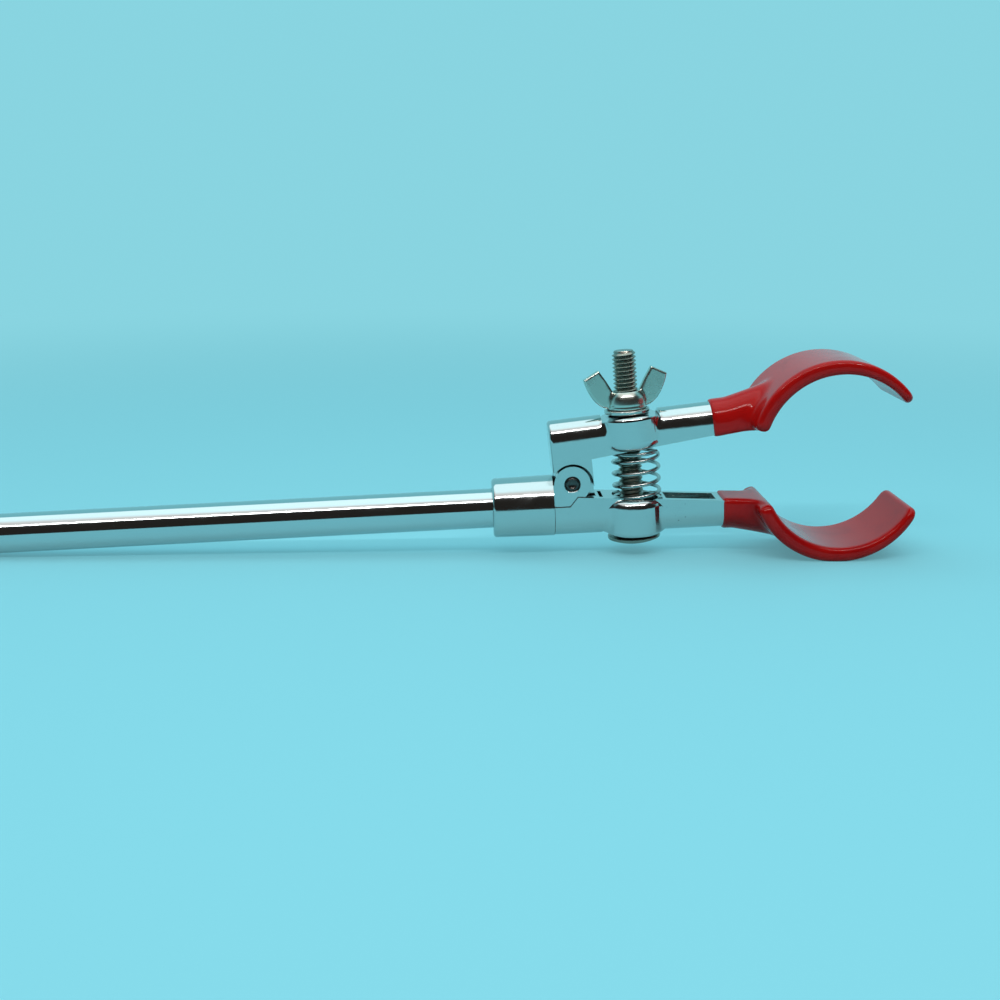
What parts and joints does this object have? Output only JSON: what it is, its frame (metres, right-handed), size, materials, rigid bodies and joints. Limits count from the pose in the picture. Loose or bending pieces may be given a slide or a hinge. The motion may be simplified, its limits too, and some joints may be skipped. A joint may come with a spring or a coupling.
{
  "type": "condenser clamp",
  "caption": "Laboratory condenser clamp on a plain support rod: two curved jaws with soft red coats, hinged on a pin and set by a bolt, spring and wing nut.",
  "frame": {"origin": "on the support rod's axis, at the face of the socket that the rod enters", "axes": "+X along the rod towards the jaws, +Y across the jaws along the axis of the held neck, +Z from the fixed jaw to the moving jaw"},
  "size_m": [0.2458, 0.025, 0.0546],
  "materials": {
    "rod": "bright nickel plate on a drawn bar",
    "casting": "bright nickel plate on a polished casting",
    "coat": "glossy dipped soft vinyl",
    "fastener": "bright zinc plate",
    "spring_wire": "drawn wire, lightly oiled"
  },
  "bodies": {
    "frame": {"support_rod": "rod", "lower_jaw": "casting", "lower_grip_coat": "coat", "hinge_pin": "fastener", "compression_spring": "spring_wire"},
    "upper_jaw": {"upper_jaw": "casting", "upper_grip_coat": "coat"},
    "bolt": {"clamp_bolt": "fastener"},
    "washer": {"flat_washer": "fastener"},
    "wing_nut": {"wing_nut": "fastener"}
  },
  "joints": [
    {"name": "jaw_hinge", "type": "hinge", "parent": "frame", "child": "upper_jaw", "pos_m": [0.0203, 0, 0.006], "axis": [0, -1, 0], "range_deg": [-16, 15], "deforming": ["compression_spring"]},
    {"name": "bolt_rock", "type": "hinge", "parent": "frame", "child": "bolt", "pos_m": [0.036, 0, -0.0085], "axis": [0, -1, 0], "range_deg": [-8, 7]},
    {"name": "washer_slide", "type": "slide", "parent": "bolt", "child": "washer", "axis": [-0.0321, 0, 0.9995], "range_m": [-0.0052, 0.0044]},
    {"name": "nut_spin", "type": "hinge", "parent": "washer", "child": "wing_nut", "pos_m": [0.036, 0, -0.0085], "axis": [-0.0321, 0, 0.9995], "range_deg": [-1700, 1600]}
  ],
  "couplings": [
    {"joint": "bolt_rock", "follows": "jaw_hinge", "ratio": 0.42},
    {"joint": "washer_slide", "follows": "jaw_hinge", "m_per_rad": 0.0161},
    {"joint": "nut_spin", "follows": "jaw_hinge", "ratio": 101.16}
  ]
}
